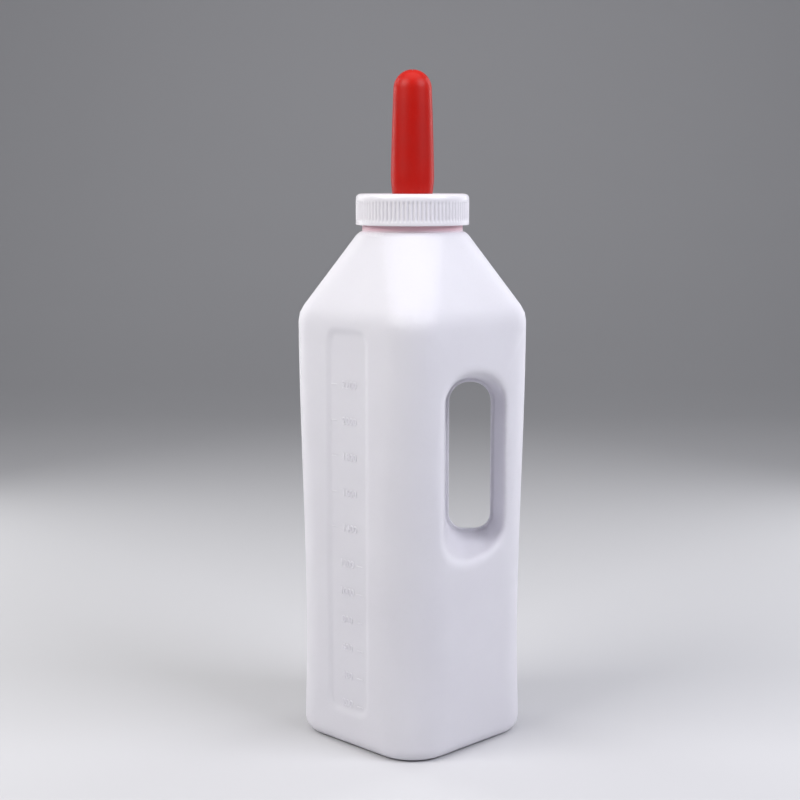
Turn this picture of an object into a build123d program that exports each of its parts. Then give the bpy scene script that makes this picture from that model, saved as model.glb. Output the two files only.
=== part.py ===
"""Three-litre calf feeding bottle: a blow-moulded square bottle with a built-in grip, closed by a
screw cap that clamps a rubber teat and its check valve on the bottle's neck.

Frame: the origin is the centre of the base, on the surface that the bottle stands on. +Z is up along
the neck, +X points to the corner that carries the grip, and the mould's parting plane is XZ.
All sizes are millimetres.
"""

from math import atan, degrees, pi, radians, tan
import os

from build123d import *

# Blow-moulded body
side = 110.0                # across the flats of the square body
corner_radius = 21.5        # upright corners, under the shoulder
base_corner_radius = 27.0   # the same corners at the base
waist_radius = 30.0         # and at the waist, where they are roundest
waist_height = 61.0
body_height = 261.0         # base to the edge where the shoulder begins
ledge_height = 310.0        # base to the ledge round the neck
ledge_width = 62.6          # across the top of the shoulder
ledge_corner = 30.0         # corner radius there, which makes it nearly round
wall = 1.5
base_round = 8.5            # rounding between the sides and the base
shoulder_round = 14.0       # rounding between the sides and the shoulder
ledge_round = 4.0
push_up = 4.0               # depth of the hollow in the base
push_up_width = 68.0        # across that hollow
push_up_lean = 45.0         # lean of its edge, degrees

# Grip: a pocket pressed in from the front and the back, joined by an opening through a thin web
opening_left, opening_right = 22.6, 48.1
opening_bottom, opening_top = 127.0, 218.5
opening_top_radius, opening_bottom_radius = 12.2, 9.5
web_width = 2.2             # lip of pinched wall left round the opening
web_thickness = 3.0
mouth_depth = 70.0          # where the pocket's mouth is set out, clear of the body
mouth_left, mouth_right = 17.5, 66.0
mouth_bottom, mouth_top = 111.5, 233.0
mouth_radius = 22.0
pocket_round = 5.0          # rounding between the pocket and the side of the body

# Sunk panel that carries the measuring scale, in the middle of the front left side
panel_width = 35.0
panel_bottom, panel_top = 21.5, 254.0
panel_radius = 8.0
panel_depth = 1.2
panel_lean = 60.0           # lean of the panel's edges from square, degrees
first_mark = 27.0
low_step, beside_step = 17.3, 21.5      # one 200 ml step below the grip, and beside it
marks_below, marks_beside = 6, 5
mark_length, mark_width, mark_rise = 5.0, 0.9, 0.5
low_place, beside_place = 9.2, -11.9    # from the panel's middle to the middle of a mark

# Neck and thread
neck_radius = 30.25
neck_bore = 27.85
lip_height = 325.6
thread_pitch = 5.0
thread_rise = 1.25          # how far a ridge stands out of its wall
thread_root, thread_crest = 2.0, 1.1    # ridge width at the wall and at the top
neck_thread_start, neck_thread_turns = 315.4, 1.4
cap_thread_drop = 1.7       # the cap's ridge pulls on the neck's from below
cap_thread_lag, cap_thread_turns = 0.25, 1.1        # turns

# Screw cap
cap_radius = 34.1
cap_bore = 31.9
cap_bottom, cap_top = 313.8, 332.3
cap_plate = 2.2
cap_round = 3.2
teat_hole = 12.4
rib_count = 84
rib_bottom, rib_top = 315.8, 328.2
flute_radius = 0.75

# Teat
flange_radius = 29.9
flange_bottom, flange_top = 327.1, 330.05
groove_radius, groove_top = 12.1, 332.6
bulge_radius, bulge_height = 12.95, 343.0
tip_radius, teat_top = 11.45, 405.5
teat_wall, tip_wall = 2.6, 2.6
throat_radius, throat_height = 12.5, 330.6
slit_length, slit_width = 9.0, 0.5

# Check valve in the neck
plate_flange = 1.4
plate_radius, plug_radius, cup_radius = 29.6, 27.35, 24.6
floor_bottom, floor_thickness = 317.5, 1.6
port_count, port_radius, port_circle = 6, 3.7, 12.5
post_radius, pin_radius, pin_length, post_top = 3.0, 1.5, 3.0, 323.6
press = 0.02                # the retainer's pin is this much oversize in radius
vent_count, vent_width, vent_depth = 2, 1.2, 0.6
disc_radius, disc_hole, disc_thickness = 20.5, 3.3, 1.2
button_radius, button_thickness = 6.0, 1.3
gap = 0.05                  # between parts that only rest on each other


def square_section(height, inset, radius):
    """One level of the body: a rounded square that stands on its corner, seen from above."""
    width = side - 2 * inset
    with BuildSketch(Plane.XY.offset(height)) as section:
        RectangleRounded(width, width, radius - inset, rotation=45)
    return section.sketch


def upright_slot(distance, left, right, bottom, top, top_radius, bottom_radius):
    """Rounded slot in a plane this far in front of the parting plane, seen from the front."""
    with BuildSketch(Plane.XZ.offset(distance)) as slot:
        with Locations(((left + right) / 2, (bottom + top) / 2)):
            Rectangle(right - left, top - bottom)
        fillet(slot.vertices().group_by(Axis.Y)[-1], top_radius)
        fillet(slot.vertices().group_by(Axis.Y)[0], bottom_radius)
    return slot.sketch


def grip_pocket(inset):
    """The pockets of the grip, grown by the inset so that the cavity keeps clear of them."""
    grow = web_width + inset
    inner_end = 0 if inset else web_thickness / 2
    with BuildPart() as pocket:
        add(upright_slot(inner_end, opening_left - grow, opening_right + grow, opening_bottom - grow,
                         opening_top + grow, opening_top_radius + grow, opening_bottom_radius + grow))
        add(upright_slot(mouth_depth, mouth_left - inset, mouth_right + inset, mouth_bottom - inset,
                         mouth_top + inset, mouth_radius + inset, mouth_radius + inset))
        loft(ruled=True)
        mirror(about=Plane.XZ)
    return pocket.part


def panel_plane(inset):
    """The front left side of the body, drawn in by the inset, with its origin level with the base."""
    face_distance = side / 2 - inset
    return Plane(origin=(0, 0, 0), x_dir=(1, -1, 0), z_dir=(-1, -1, 0)).offset(face_distance)


def bottle_form(inset):
    """Solid shape of the body up to the ledge, drawn in by the inset on every side."""
    shoulder_lean = atan((side - ledge_width) / 2 / (ledge_height - body_height))
    knee = body_height - inset * tan(shoulder_lean / 2)
    top = ledge_height - inset
    top_width = ledge_width - 2 * inset
    panel_grow = inset * tan(radians(90 - panel_lean) / 2)
    with BuildPart() as form:
        add(square_section(inset, inset, base_corner_radius))
        add(square_section(waist_height, inset, waist_radius))
        add(square_section(knee, inset, corner_radius))
        with BuildSketch(Plane.XY.offset(top)):
            RectangleRounded(top_width, top_width, ledge_corner - inset, rotation=45)
        loft(ruled=True)
        fillet(form.edges().filter_by_position(Axis.Z, knee - 0.1, knee + 0.1), shoulder_round - inset)
        fillet(form.edges().group_by(Axis.Z)[-1], ledge_round - inset)
        fillet(form.edges().group_by(Axis.Z)[0], base_round - inset)
        add(grip_pocket(inset), mode=Mode.SUBTRACT)
        rim = form.edges(Select.LAST).filter_by(lambda edge: abs(edge.center().Y) > mouth_depth / 8)
        fillet(rim, pocket_round - inset)
        with BuildSketch(panel_plane(inset)):
            with Locations((0, (panel_bottom + panel_top) / 2)):
                RectangleRounded(panel_width + 2 * panel_grow, panel_top - panel_bottom + 2 * panel_grow,
                                 panel_radius + panel_grow)
        extrude(amount=-panel_depth, taper=panel_lean, mode=Mode.SUBTRACT)
        with BuildSketch(Plane.XY.offset(inset)):
            RectangleRounded(push_up_width, push_up_width, corner_radius, rotation=45)
        extrude(amount=push_up, taper=push_up_lean, mode=Mode.SUBTRACT)
    return form.part


def thread_ridge(radius, start, turns, outward):
    """Helical ridge on a wall of this radius, standing outwards on the neck or inwards in the cap."""
    sense = 1 if outward else -1
    root = -0.3 * sense     # sunk into the wall so that the two fuse
    with BuildPart() as ridge:
        with BuildLine() as path:
            Helix(thread_pitch, turns * thread_pitch, radius, center=(0, 0, start))
        with BuildSketch(Plane(path.line @ 0, x_dir=(1, 0, 0), z_dir=path.line % 0)):
            with BuildLine():
                Polyline((root, -thread_root / 2), (sense * thread_rise, -thread_crest / 2),
                         (sense * thread_rise, thread_crest / 2), (root, thread_root / 2), close=True)
            make_face()
        sweep(is_frenet=True)
    return ridge.part


def mark_places():
    """Places of the scale's marks: close together low down, wider apart and further left beside the grip."""
    low_marks = [(low_place, first_mark + low_step * step) for step in range(marks_below)]
    top_height = low_marks[-1][1]
    return low_marks + [(beside_place, top_height + beside_step * (step + 1)) for step in range(marks_beside)]


outer_form = bottle_form(0)
cavity_form = bottle_form(wall)
neck_thread = thread_ridge(neck_radius, neck_thread_start, neck_thread_turns, outward=True)
grip_opening = upright_slot(0, opening_left, opening_right, opening_bottom, opening_top,
                            opening_top_radius, opening_bottom_radius)

with BuildPart() as bottle_body:
    add(outer_form)
    with BuildSketch(Plane.XY.offset(ledge_height - wall)):
        Circle(neck_radius)
    extrude(amount=lip_height - ledge_height + wall)
    add(cavity_form, mode=Mode.SUBTRACT)
    with BuildSketch(Plane.XY.offset(ledge_height - 2 * wall)):
        Circle(neck_bore)
    extrude(amount=lip_height - ledge_height + 3 * wall, mode=Mode.SUBTRACT)
    extrude(grip_opening, amount=web_thickness, both=True, mode=Mode.SUBTRACT)
    with BuildSketch(panel_plane(panel_depth)):
        with Locations(mark_places()):
            Rectangle(mark_length, mark_width)
    extrude(amount=mark_rise)
    add(neck_thread)
bottle_body.part.label = "bottle_body"

cap_thread_start = neck_thread_start - cap_thread_drop + cap_thread_lag * thread_pitch
cap_thread = thread_ridge(cap_bore, cap_thread_start, cap_thread_turns, outward=False)

with BuildPart() as screw_cap:
    with BuildSketch(Plane.XY.offset(cap_bottom)):
        Circle(cap_radius)
    extrude(amount=cap_top - cap_bottom)
    fillet(screw_cap.edges().group_by(Axis.Z)[-1], cap_round)
    chamfer(screw_cap.edges().group_by(Axis.Z)[0], 0.5)
    with BuildSketch(Plane.XY.offset(cap_bottom)):
        Circle(cap_bore)
    extrude(amount=cap_top - cap_plate - cap_bottom, mode=Mode.SUBTRACT)
    with BuildSketch(Plane.XY.offset(cap_bottom)):
        Circle(teat_hole)
    extrude(amount=cap_top - cap_bottom, mode=Mode.SUBTRACT)
    with BuildSketch(Plane.XY.offset(rib_bottom)):
        with PolarLocations(cap_radius + flute_radius / 3, rib_count):
            Circle(flute_radius)
    extrude(amount=rib_top - rib_bottom, mode=Mode.SUBTRACT)
    add(cap_thread, rotation=(0, 0, 360 * cap_thread_lag))
screw_cap.part.label = "screw_cap"

with BuildPart() as teat:
    with BuildSketch(Plane.XZ):
        with BuildLine():
            outer_flange = Polyline((throat_radius, flange_bottom), (flange_radius, flange_bottom),
                                    (flange_radius, flange_top), (groove_radius, flange_top),
                                    (groove_radius, groove_top))
            outer_side = Spline(outer_flange @ 1, (bulge_radius, bulge_height),
                                (tip_radius, teat_top - tip_radius), tangents=((0.3, 1), (0, 1)))
            outer_tip = RadiusArc(outer_side @ 1, (0, teat_top), -tip_radius)
            tip_end = Line(outer_tip @ 1, (0, teat_top - tip_wall))
            inner_tip = RadiusArc(tip_end @ 1, (tip_radius - teat_wall, teat_top - tip_radius),
                                  tip_radius - tip_wall)
            inner_side = Spline(inner_tip @ 1, (bulge_radius - teat_wall, bulge_height),
                                (groove_radius - tip_wall, throat_height), tangents=((0, -1), (0, -1)))
            Line(inner_side @ 1, outer_flange @ 0)
        make_face()
    revolve(axis=Axis.Z)
    fillet(teat.edges().filter_by_position(Axis.Z, flange_top - 0.1, flange_top + 0.1)
           .sort_by(SortBy.LENGTH)[-1], 0.8)
    with BuildSketch(Plane.XY.offset(teat_top - 2 * tip_wall)):
        Rectangle(slit_length, slit_width)
        Rectangle(slit_width, slit_length)
    extrude(amount=2 * tip_wall, mode=Mode.SUBTRACT)
teat.part.label = "teat"

with BuildPart() as valve_plate:
    with BuildSketch(Plane.XY.offset(floor_bottom)):
        Circle(plug_radius)
    extrude(amount=lip_height + gap - floor_bottom)
    with BuildSketch(Plane.XY.offset(lip_height + gap)):
        Circle(plate_radius)
    extrude(amount=plate_flange)
    with BuildSketch(Plane.XY.offset(floor_bottom + floor_thickness)):
        Circle(cup_radius)
    extrude(amount=lip_height, mode=Mode.SUBTRACT)
    with BuildSketch(Plane.XY.offset(floor_bottom)):
        with PolarLocations(port_circle, port_count):
            Circle(port_radius)
    extrude(amount=floor_thickness, mode=Mode.SUBTRACT)
    with BuildSketch(Plane.XY.offset(floor_bottom)):
        Circle(post_radius)
    extrude(amount=post_top - floor_bottom)
    with BuildSketch(Plane.XY.offset(post_top)):
        Circle(pin_radius)
    extrude(amount=-pin_length, mode=Mode.SUBTRACT)
    with BuildSketch(Plane.XY.offset(lip_height + gap)):
        with PolarLocations(plate_radius, vent_count):
            Rectangle(2 * (plate_radius - plug_radius), vent_width)
    extrude(amount=vent_depth, mode=Mode.SUBTRACT)
valve_plate.part.label = "valve_plate"

with BuildPart() as check_disc:
    with BuildSketch(Plane.XY.offset(floor_bottom + floor_thickness + gap)):
        Circle(disc_radius)
        Circle(disc_hole, mode=Mode.SUBTRACT)
    extrude(amount=disc_thickness)
    fillet(check_disc.edges().group_by(Axis.Z)[-1].sort_by(SortBy.LENGTH)[-1], 0.4)
check_disc.part.label = "check_disc"

with BuildPart() as valve_retainer:
    with BuildSketch(Plane.XY.offset(post_top)):
        Circle(button_radius)
    extrude(amount=button_thickness)
    fillet(valve_retainer.edges().group_by(Axis.Z)[-1], 0.5)
    with BuildSketch(Plane.XY.offset(post_top)):
        Circle(pin_radius + press)
    extrude(amount=-pin_length + 2 * gap)
valve_retainer.part.label = "valve_retainer"

os.makedirs("parts", exist_ok=True)
export_step(bottle_body.part, "parts/bottle_body.step")
export_step(screw_cap.part, "parts/screw_cap.step")
export_step(teat.part, "parts/teat.step")
export_step(valve_plate.part, "parts/valve_plate.step")
export_step(check_disc.part, "parts/check_disc.step")
export_step(valve_retainer.part, "parts/valve_retainer.step")
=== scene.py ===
"""Calf feeding bottle: the pieces that show, their finishes and a plain studio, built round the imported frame.

Everything is in metres. +Z is up along the neck, +X points to the corner that carries the grip, and the
mould's parting plane is XZ, so the body is shaped as its front half (y below 0) and mirrored.
"""

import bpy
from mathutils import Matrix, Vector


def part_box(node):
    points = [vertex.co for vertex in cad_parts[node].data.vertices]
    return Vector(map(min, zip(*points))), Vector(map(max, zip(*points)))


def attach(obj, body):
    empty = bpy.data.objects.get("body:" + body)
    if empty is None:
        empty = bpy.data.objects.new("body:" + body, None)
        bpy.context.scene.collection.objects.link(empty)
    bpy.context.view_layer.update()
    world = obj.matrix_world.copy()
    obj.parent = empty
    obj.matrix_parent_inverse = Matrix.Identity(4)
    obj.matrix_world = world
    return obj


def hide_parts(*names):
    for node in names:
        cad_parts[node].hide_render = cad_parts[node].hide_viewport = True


bl_info = {
    "name": "Calf feeding bottle",
    "version": (1, 0, 0),
    "blender": (4, 5, 0),
    "location": "3D View > Sidebar > Calf bottle",
    "description": "Builds a square calf feeding bottle with a grip, a ribbed cap and a rubber teat",
    "category": "Add Mesh",
}

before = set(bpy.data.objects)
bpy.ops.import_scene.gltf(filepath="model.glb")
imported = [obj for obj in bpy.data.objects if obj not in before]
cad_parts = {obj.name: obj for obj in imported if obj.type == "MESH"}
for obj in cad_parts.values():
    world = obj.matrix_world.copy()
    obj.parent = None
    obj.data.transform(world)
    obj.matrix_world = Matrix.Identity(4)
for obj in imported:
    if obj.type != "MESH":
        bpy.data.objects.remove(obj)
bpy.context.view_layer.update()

from math import atan2, cos, hypot, pi, radians, sin, sqrt, tan

import bmesh
import bpy
from bpy.props import FloatProperty, FloatVectorProperty, IntProperty, PointerProperty
from mathutils import Vector

MM = 0.001
CORNER = radians(45)
FACE_OUT = Vector((-1, -1, 0)).normalized()     # outward from the front left side, which has the scale
FACE_RIGHT = Vector((1, -1, 0)).normalized()    # to the right on that side, seen from outside

BOTTLE_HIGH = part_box("bottle_body")[1]
CAP_LOW, CAP_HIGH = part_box("screw_cap")
TEAT_LOW, TEAT_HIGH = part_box("teat")


def length(name, description, default):
    """A length property in metres, from a default in millimetres."""
    return FloatProperty(name=name, description=description, default=default * MM, min=0.0,
                         unit="LENGTH", subtype="DISTANCE", precision=4)


def colour(name, description, default):
    return FloatVectorProperty(name=name, description=description, default=default, min=0.0, max=1.0,
                               size=3, subtype="COLOR")


class BottleShape(bpy.types.PropertyGroup):
    """Sizes of the blow-moulded body."""

    side: length("Side", "Across the flats of the square body", 110.0)
    corner: length("Corner", "Upright corners under the shoulder", 21.5)
    base_corner: length("Base corner", "Upright corners at the base", 27.0)
    waist_corner: length("Waist corner", "Upright corners at the waist", 30.0)
    waist_height: length("Waist height", "Height where the corners are roundest", 61.0)
    body_height: length("Body height", "Base to the edge where the shoulder begins", 261.0)
    ledge_height: length("Ledge height", "Base to the ledge round the neck", 310.0)
    ledge_width: length("Ledge width", "Across the top of the shoulder", 62.6)
    ledge_corner: length("Ledge corner", "Corner radius at the top of the shoulder", 30.0)
    base_round: length("Base rounding", "Rounding between the sides and the base", 8.5)
    shoulder_round: length("Shoulder rounding", "Rounding between the sides and the shoulder", 22.0)
    ledge_round: length("Ledge rounding", "Rounding between the shoulder and the ledge", 4.0)
    foot_width: length("Foot width", "Flat ring that the bottle stands on", 8.0)
    push_up: length("Push-up", "Depth of the hollow in the base", 4.0)
    neck_radius: length("Neck radius", "Outside of the neck", 30.25)
    wall: length("Wall", "Wall thickness", 1.4)
    seam: length("Seam", "How far the parting line stands out", 0.22)
    thread_pitch: length("Thread pitch", "Rise of the thread in one turn", 5.0)
    thread_rise: length("Thread rise", "How far the threads of the neck and the cap stand out", 1.25)


class GripShape(bpy.types.PropertyGroup):
    """Sizes of the grip's opening and of the pockets on both sides of it."""

    left: length("Left", "Opening's edge nearest the middle", 22.6)
    right: length("Right", "Opening's edge nearest the corner", 48.1)
    bottom: length("Bottom", "Opening's lowest point", 127.0)
    top: length("Top", "Opening's highest point", 218.5)
    bottom_round: length("Bottom corners", "Rounding of the opening's lower corners", 9.5)
    top_round: length("Top corners", "Rounding of the opening's upper corners", 12.2)
    web: length("Web width", "Flat lip left round the opening", 2.2)
    web_thickness: length("Web thickness", "Thickness of that lip", 3.0)
    mouth_depth: length("Mouth distance", "Distance of the mouth in front of the parting plane", 70.0)
    mouth_left: length("Mouth left", "Left edge of the pocket there", 17.5)
    mouth_right: length("Mouth right", "Right edge of the pocket there", 66.0)
    mouth_bottom: length("Mouth bottom", "Lowest point of the pocket there", 111.5)
    mouth_top: length("Mouth top", "Highest point of the pocket there", 233.0)
    mouth_round: length("Mouth corners", "Rounding of the pocket's corners there", 22.0)
    rim: length("Rim", "Distance over which the pocket's edge is rounded", 7.0)


class PanelShape(bpy.types.PropertyGroup):
    """Sizes of the sunk panel and of the scale on it."""

    width: length("Width", "Width of the panel", 35.0)
    bottom: length("Bottom", "Lowest point of the panel", 21.5)
    top: length("Top", "Highest point of the panel", 254.0)
    corner: length("Corner", "Rounding of the panel's corners", 8.0)
    depth: length("Depth", "How far the panel is sunk", 1.2)
    first_mark: length("First mark", "Height of the lowest mark", 27.0)
    low_step: length("Low step", "Rise of a mark below the grip", 17.3)
    beside_step: length("Step beside the grip", "Rise of a mark beside the grip", 21.5)
    low_marks: IntProperty(name="Low marks", description="Marks below the grip", default=6)
    beside_marks: IntProperty(name="Marks beside the grip", description="Marks above those", default=5)
    volume_step: IntProperty(name="Volume step", description="Millilitres from mark to mark", default=200)
    low_place: length("Low place", "Low marks, right of the panel's middle", 9.2)
    beside_place: length("Place beside the grip", "Marks beside the grip, left of the panel's middle", 11.9)
    mark_length: length("Mark length", "Length of a mark", 5.0)
    mark_width: length("Mark width", "Width of a mark", 0.8)
    mark_lift: length("Mark lift", "How far the marks and numbers stand out", 0.14)
    number_size: length("Number size", "Size of the numbers", 6.2)


class CapShape(bpy.types.PropertyGroup):
    """Sizes of the screw cap."""

    rib_count: IntProperty(name="Ribs", description="Upright ribs round the cap", default=84, min=12)
    rib_depth: length("Rib depth", "Depth of the grooves between the ribs", 0.75)
    rounding: length("Rounding", "Rounding of the top edge", 3.4)
    bore: length("Bore", "Inner radius", 31.9)
    plate: length("Plate", "Thickness of the plate", 2.2)
    hole: length("Hole", "Radius of the hole for the teat", 12.4)
    rib_bottom: length("Rib bottom", "Height of the ribs' lower end above the cap's lower edge", 2.2)
    rib_top: length("Rib top", "Drop from the cap's top to the ribs' upper end", 4.3)


class TeatShape(bpy.types.PropertyGroup):
    """Sizes of the rubber teat."""

    flange: length("Flange", "Radius of the flange under the cap", 29.7)
    flange_thickness: length("Flange thickness", "Thickness of the flange", 2.95)
    groove: length("Groove", "Radius where the teat passes the cap", 12.1)
    bulge: length("Bulge", "Radius at the thickest place", 12.95)
    bulge_rise: length("Bulge rise", "Height of the thickest place above the cap", 10.5)
    tip: length("Tip", "Radius at the tip", 11.45)
    wall: length("Wall", "Wall thickness", 2.6)
    slit: length("Slit", "Length of each cut of the cross slit", 9.0)


class Finishes(bpy.types.PropertyGroup):
    """Colours of the finishes."""

    body: colour("Body", "Natural polyethylene", (0.745, 0.73, 0.785))
    # painted light: a red glow painted on the neck, standing for the teat's red light shining through the
    # plastic
    painted_neck_glow: colour("Neck glow", "Red of the teat's flange seen through the neck", (0.98, 0.55, 0.62))
    cap: colour("Cap", "White moulded plastic", (0.74, 0.725, 0.76))
    rubber: colour("Rubber", "Red rubber", (0.42, 0.005, 0.002))
    valve: colour("Valve", "White plastic of the valve", (0.78, 0.78, 0.76))
    disc: colour("Disc", "Grey rubber of the check disc", (0.09, 0.09, 0.095))
    floor: colour("Floor", "Pale studio floor", (0.58, 0.58, 0.59))


# ---------------------------------------------------------------- shared helpers


def blend(a, b, fraction):
    return a + (b - a) * fraction


def ease(fraction):
    """0 to 1 with level ends."""
    return (1 - cos(pi * min(max(fraction, 0.0), 1.0))) / 2


def solve(function, low, high, steps=36):
    """Where a rising function crosses 0 between two values."""
    for _ in range(steps):
        middle = (low + high) / 2
        if function(middle) < 0:
            low = middle
        else:
            high = middle
    return (low + high) / 2


def curve_through(start, control, end, steps):
    """Points of a quadratic curve, without its start."""
    points = []
    for step in range(1, steps + 1):
        f = step / steps
        points.append(start * (1 - f) ** 2 + control * (2 * f * (1 - f)) + end * f ** 2)
    return points


def rounded_path(corners, spacing):
    """A 2-D path through (x, z, rounding) corners, with its corners rounded and its runs divided."""
    path = [Vector(corners[0][:2])]
    for index in range(1, len(corners)):
        corner = Vector(corners[index][:2])
        last = index == len(corners) - 1
        stop = corner
        if not last:
            before = (Vector(corners[index - 1][:2]) - corner).normalized()
            after = (Vector(corners[index + 1][:2]) - corner).normalized()
            turn = pi - before.angle(after)
            reach = corners[index][2] * tan(turn / 2)
            stop = corner + before * reach
        run = (stop - path[-1]).length
        pieces = max(1, round(run / spacing))
        begin = path[-1]
        path += [begin.lerp(stop, (piece + 1) / pieces) for piece in range(pieces)]
        if not last and reach > 0:
            steps = max(2, round(turn / radians(11)))
            path += curve_through(stop, corner, corner + after * reach, steps)
    return path


def rounded_outline(left, right, bottom, top, bottom_round, top_round, side, fraction):
    """A point of a rounded rectangle. Side 0 is the bottom, 1 the right, 2 the top and 3 the left; each
    runs anticlockwise from the middle of one corner's arc to the middle of the next."""
    centres = [(left + bottom_round, bottom + bottom_round, bottom_round, pi),
               (right - bottom_round, bottom + bottom_round, bottom_round, 1.5 * pi),
               (right - top_round, top - top_round, top_round, 0.0),
               (left + top_round, top - top_round, top_round, 0.5 * pi)]
    x0, z0, r0, a0 = centres[side]
    x1, z1, r1, a1 = centres[(side + 1) % 4]
    leave = Vector((x0 + r0 * cos(a0 + pi / 2), z0 + r0 * sin(a0 + pi / 2)))
    arrive = Vector((x1 + r1 * cos(a1), z1 + r1 * sin(a1)))
    first, straight, second = r0 * pi / 4, (arrive - leave).length, r1 * pi / 4
    along = fraction * (first + straight + second)
    if along < first:
        angle = a0 + pi / 4 + along / r0
        return Vector((x0 + r0 * cos(angle), z0 + r0 * sin(angle)))
    if along <= first + straight:
        return leave.lerp(arrive, (along - first) / max(straight, 1e-9))
    angle = a1 + (along - first - straight) / r1
    return Vector((x1 + r1 * cos(angle), z1 + r1 * sin(angle)))


def ring_edges(bm, ring):
    return [bm.edges.get((a, b)) for a, b in zip(ring, ring[1:] + ring[:1])]


def extrude_ring(bm, ring, places):
    """Extrudes a closed ring of vertices, moves the new one to the places and returns it."""
    made = bmesh.ops.extrude_edge_only(bm, edges=ring_edges(bm, ring))["geom"]
    fresh = {item for item in made if isinstance(item, bmesh.types.BMVert)}
    new_ring = []
    for vert, place in zip(ring, places):
        twin = next(edge.other_vert(vert) for edge in vert.link_edges if edge.other_vert(vert) in fresh)
        twin.co = place
        new_ring.append(twin)
    return new_ring


def open_window(bm, grid, columns, rows):
    """Deletes the grid's faces between two columns and two rows. Returns the ring of vertices round the
    window, anticlockwise from its lower left corner, and each one's (side, fraction of that side)."""
    first_column, last_column = columns
    first_row, last_row = rows
    sides = [[grid[first_row][c] for c in range(first_column, last_column + 1)],
             [grid[r][last_column] for r in range(first_row, last_row + 1)],
             [grid[last_row][c] for c in range(last_column, first_column - 1, -1)],
             [grid[r][first_column] for r in range(last_row, first_row - 1, -1)]]
    inside = {grid[r][c] for r in range(first_row, last_row + 1)
              for c in range(first_column, last_column + 1)}
    doomed = [face for face in bm.faces if all(vert in inside for vert in face.verts)]
    ring, places = [], []
    for number, side in enumerate(sides):
        reach = [0.0]
        for a, b in zip(side, side[1:]):
            reach.append(reach[-1] + (b.co - a.co).length)
        for vert, distance in zip(side[:-1], reach):
            ring.append(vert)
            places.append((number, distance / reach[-1]))
    bmesh.ops.delete(bm, geom=doomed, context="FACES")
    return ring, places


def spin_profile(bm, points, steps):
    """Turns a closed profile of (radius, height) points once round the axis."""
    verts = [bm.verts.new((radius, 0, height)) for radius, height in points]
    edges = [bm.edges.new(pair) for pair in zip(verts, verts[1:] + verts[:1])]
    bmesh.ops.spin(bm, geom=verts + edges, cent=(0, 0, 0), axis=(0, 0, 1), angle=2 * pi, steps=steps,
                   use_merge=True, use_duplicate=False)
    bmesh.ops.remove_doubles(bm, verts=bm.verts, dist=1e-6)
    bmesh.ops.recalc_face_normals(bm, faces=bm.faces)


def add_thread(bm, radius, rise, start, turns, pitch, lag):
    """A helical ridge that starts at the angle lag, with run-outs at both ends. rise is negative for an inner
    thread."""
    root, crest, steps = 1.0 * MM, 0.5 * MM, 120
    run_out = 0.5       # radians over which the ridge grows at each end
    least = 0.15        # where on the ease it starts there
    sink = -0.3 * MM if rise > 0 else 0.3 * MM
    corners = [(radius + sink, -root), (radius + rise, -crest), (radius + rise, crest), (radius + sink, root)]
    verts = [bm.verts.new((r * cos(lag), r * sin(lag), start + z)) for r, z in corners]
    known = set(bm.verts)
    bmesh.ops.spin(bm, geom=[bm.faces.new(verts)], cent=(0, 0, 0), axis=(0, 0, 1), angle=turns * 2 * pi,
                   steps=steps, dvec=(0, 0, turns * pitch / steps), use_merge=False, use_duplicate=False)
    fresh = [v for v in bm.verts if v not in known] + verts
    for vert in fresh:
        distance = hypot(vert.co.x, vert.co.y)
        angle = (vert.co.z - start) / pitch * 2 * pi
        ends = min(1.0, max(0.0, angle / run_out), max(0.0, (turns * 2 * pi - angle) / run_out))
        held = radius + sink + (distance - radius - sink) * ease(least + (1 - least) * ends)
        vert.co.x *= held / distance
        vert.co.y *= held / distance
    faces = {face for vert in fresh for face in vert.link_faces}
    bmesh.ops.recalc_face_normals(bm, faces=list(faces))


def make_object(name, bm, material):
    """Turns the mesh into a smooth object of the scene with one material."""
    mesh = bpy.data.meshes.new(name)
    bm.to_mesh(mesh)
    bm.free()
    mesh.shade_smooth()
    mesh.materials.append(material)
    made = bpy.data.objects.new(name, mesh)
    bpy.context.scene.collection.objects.link(made)
    return made


def finish_piece(name, bm, body, material, replaced=()):
    """Makes the object, gives it its finish, hangs it on its body's empty and hides the parts it replaces."""
    piece = make_object(name, bm, material)
    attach(piece, body)
    if replaced:
        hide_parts(*replaced)


# ---------------------------------------------------------------- shader groups and finishes


def new_group(name, inputs, outputs):
    """A shader node group with (name, kind, default) inputs and (name, kind) outputs."""
    group = bpy.data.node_groups.new(name, "ShaderNodeTree")
    for label, kind, default in inputs:
        socket = group.interface.new_socket(name=label, in_out="INPUT", socket_type=kind)
        if default is not None:
            socket.default_value = default
    for label, kind in outputs:
        group.interface.new_socket(name=label, in_out="OUTPUT", socket_type=kind)
    return group, group.nodes.new("NodeGroupInput"), group.nodes.new("NodeGroupOutput")


def set_inputs(node, values):
    """Sets a node's inputs by socket name, with underscores for the spaces."""
    for key, value in values.items():
        node.inputs[key.replace("_", " ")].default_value = value


def add_node(tree, kind, settings=None, **values):
    """A node with its own settings and its input values, by socket name."""
    node = tree.nodes.new(kind)
    for key, value in (settings or {}).items():
        setattr(node, key, value)
    set_inputs(node, values)
    return node


def feed(tree, node, sources):
    """Fills a node's inputs from (index, source) pairs. A socket is linked and a plain value is set."""
    for index, source in sources:
        if isinstance(source, bpy.types.NodeSocket):
            tree.links.new(source, node.inputs[index])
        else:
            node.inputs[index].default_value = source


def remap(tree, value, low, high, new_low, new_high):
    """Maps a value from one range to another, and clamps it."""
    node = tree.nodes.new("ShaderNodeMapRange")
    feed(tree, node, enumerate((value, low, high, new_low, new_high)))
    return node.outputs["Result"]


def maths(tree, operation, a, b):
    node = add_node(tree, "ShaderNodeMath", {"operation": operation})
    feed(tree, node, enumerate((a, b)))
    return node.outputs["Value"]


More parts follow.
